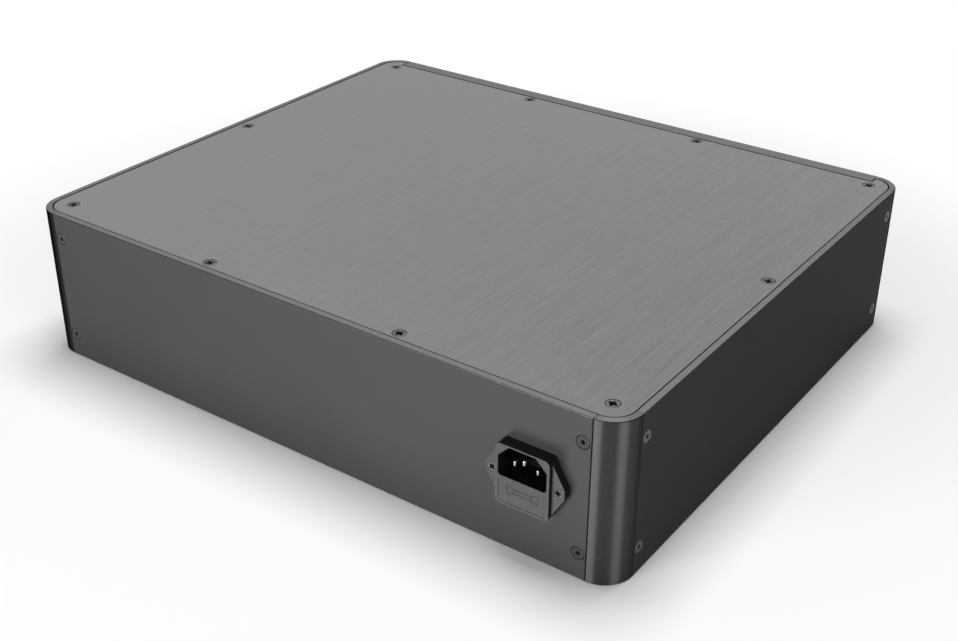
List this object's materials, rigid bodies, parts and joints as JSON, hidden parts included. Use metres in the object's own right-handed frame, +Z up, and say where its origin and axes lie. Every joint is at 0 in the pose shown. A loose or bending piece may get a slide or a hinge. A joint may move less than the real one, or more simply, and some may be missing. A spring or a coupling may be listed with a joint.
{
  "type": "amplifier chassis",
  "caption": "Low aluminium case with round corner pillars, brushed screwed-down cover and a fused mains inlet with sliding fuse drawer.",
  "frame": {"origin": "middle of the underside, half way between the front and rear panels' outer faces", "axes": "+X to the right seen from the front, +Y towards the rear panel with the inlet, +Z up"},
  "size_m": [0.428, 0.3678, 0.1],
  "materials": {
    "panel": "fine satin anodised, dark grey",
    "pillar": "drawn and anodised, dark grey satin",
    "brushed_cover": "brushed front to back and anodised, mid grey",
    "plate": "satin anodised, dark grey",
    "rail": "plain milled",
    "dark_screw": "black zinc, cross recess",
    "socket_screw": "blackened, hexagon socket",
    "plated_screw": "bright zinc",
    "inlet_plastic": "black moulded, fine texture on the faces",
    "drawer_plastic": "black moulded, fine texture on the face",
    "blade": "nickel plated brass",
    "contact": "sprung brass strip",
    "fuse_glass": "clear glass tube",
    "fuse_cap": "nickel plated end cap"
  },
  "bodies": {
    "chassis": {"front_panel": "panel", "rear_panel": "panel", "left_side_panel": "panel", "right_side_panel": "panel", "rear_right_pillar": "pillar", "rear_left_pillar": "pillar", "front_right_pillar": "pillar", "front_left_pillar": "pillar", "top_cover": "brushed_cover", "bottom_plate": "plate", "front_top_rail": "rail", "front_bottom_rail": "rail", "top_cover_screws": "dark_screw", "bottom_plate_screws": "dark_screw", "rear_panel_screws": "socket_screw", "left_side_screws": "socket_screw", "right_side_screws": "socket_screw", "front_panel_screws": "plated_screw", "rail_screws": "plated_screw", "inlet_housing": "inlet_plastic", "inlet_screws": "plated_screw", "inlet_nuts": "plated_screw", "line_fuse_contact": "contact", "load_fuse_contact": "contact", "line_blade": "blade", "neutral_blade": "blade", "earth_blade": "blade"},
    "drawer": {"fuse_drawer": "drawer_plastic", "fuse_glass": "fuse_glass", "fuse_caps": "fuse_cap", "spare_fuse_glass": "fuse_glass", "spare_fuse_caps": "fuse_cap"}
  },
  "joints": [
    {"name": "fuse_drawer_slide", "type": "slide", "parent": "chassis", "child": "drawer", "axis": [0, 1, 0], "range_m": [0, 0.02]}
  ]
}
